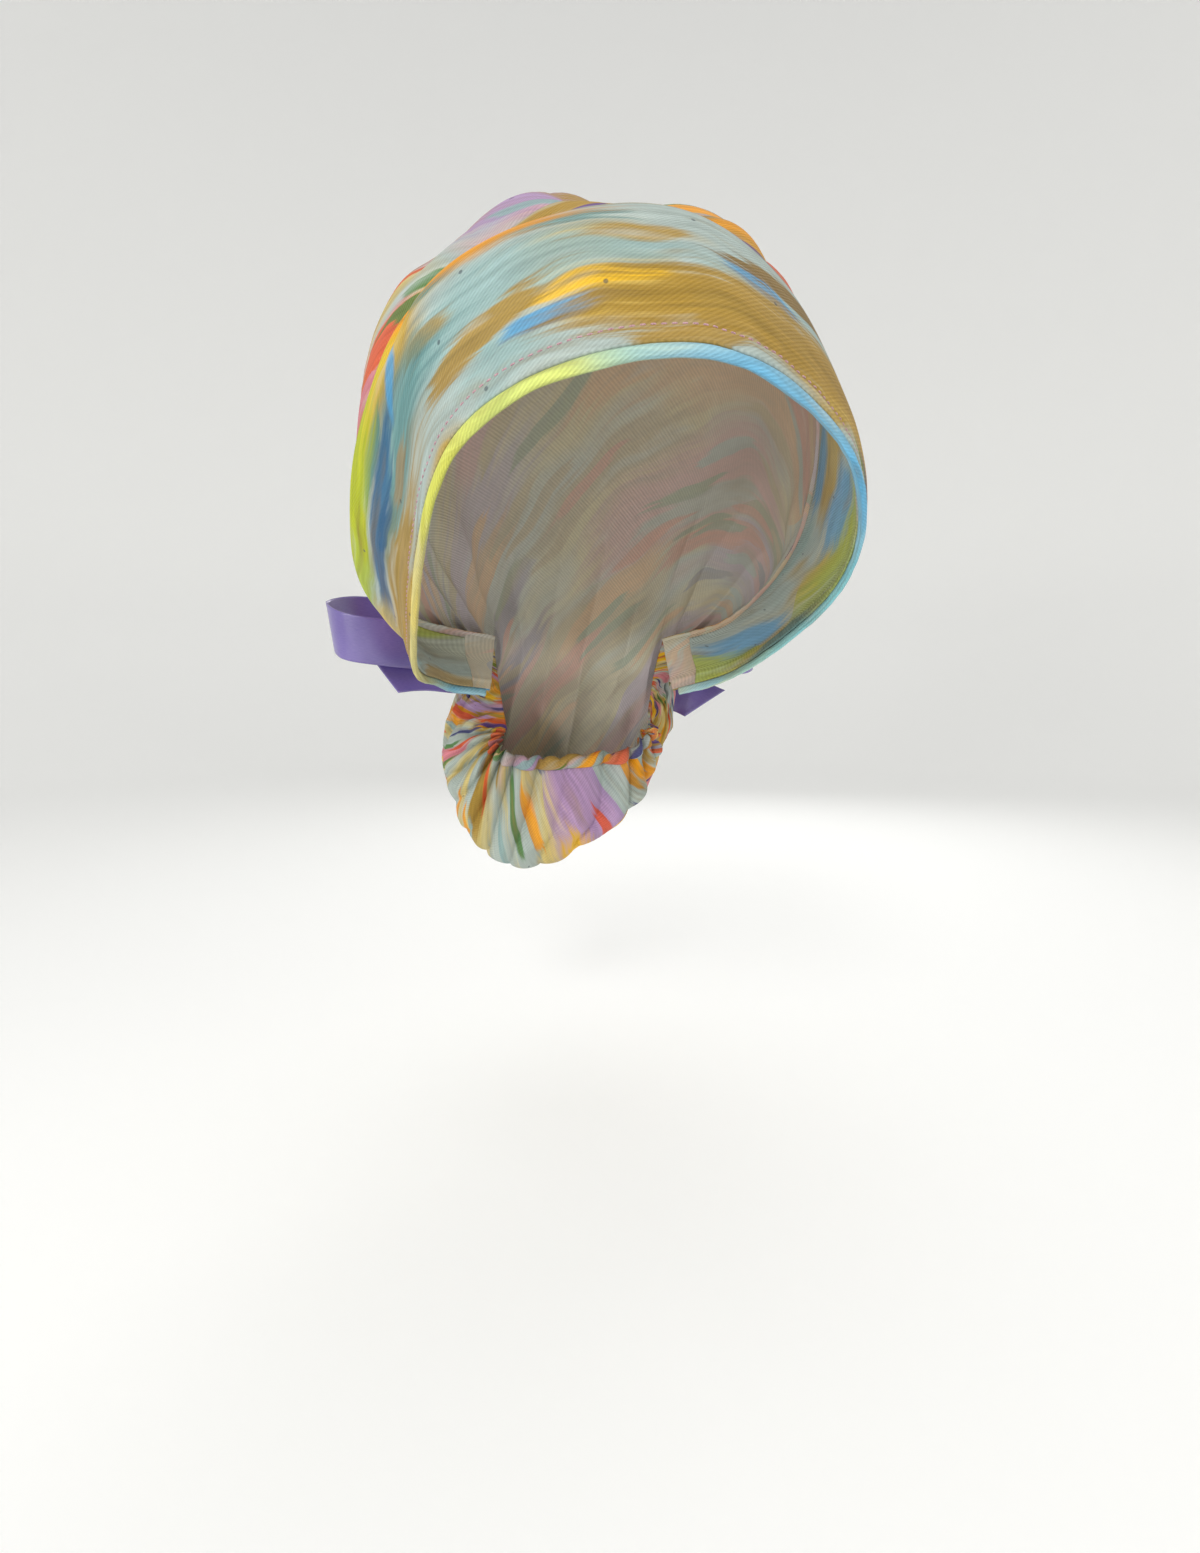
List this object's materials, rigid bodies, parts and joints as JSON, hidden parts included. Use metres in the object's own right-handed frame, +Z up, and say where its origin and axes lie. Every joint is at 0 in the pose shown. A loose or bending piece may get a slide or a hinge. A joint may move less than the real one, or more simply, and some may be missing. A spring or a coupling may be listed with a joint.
{
  "type": "ponytail scrub cap",
  "caption": "Printed cotton ponytail scrub cap: wide front band, gathered crown with a hair pouch and elastic mouth, and a satin ribbon bow tied behind the nape.",
  "frame": {"origin": "inside of the crown, where it rests on top of the head", "axes": "+Z up along the wearer's body, the face opening looks along -Y, +X is the wearer's left"},
  "size_m": [0.2215, 0.247, 0.2706],
  "materials": {
    "print_cloth": "printed cotton twill, matte",
    "facing_cloth": "printed cotton twill, matte",
    "hem_cloth": "turned and topstitched cotton twill, matte",
    "satin_ribbon": "satin"
  },
  "bodies": {
    "root": {"front_band": "print_cloth", "band_facing": "facing_cloth", "hem_roll": "hem_cloth", "crown_and_pouch": "print_cloth", "elastic_casing": "print_cloth", "tie_right": "satin_ribbon", "tie_left": "satin_ribbon", "bow_knot": "satin_ribbon", "bow_loop_right": "satin_ribbon", "bow_loop_left": "satin_ribbon", "ribbon_tail_right": "satin_ribbon", "ribbon_tail_left": "satin_ribbon"}
  },
  "joints": []
}
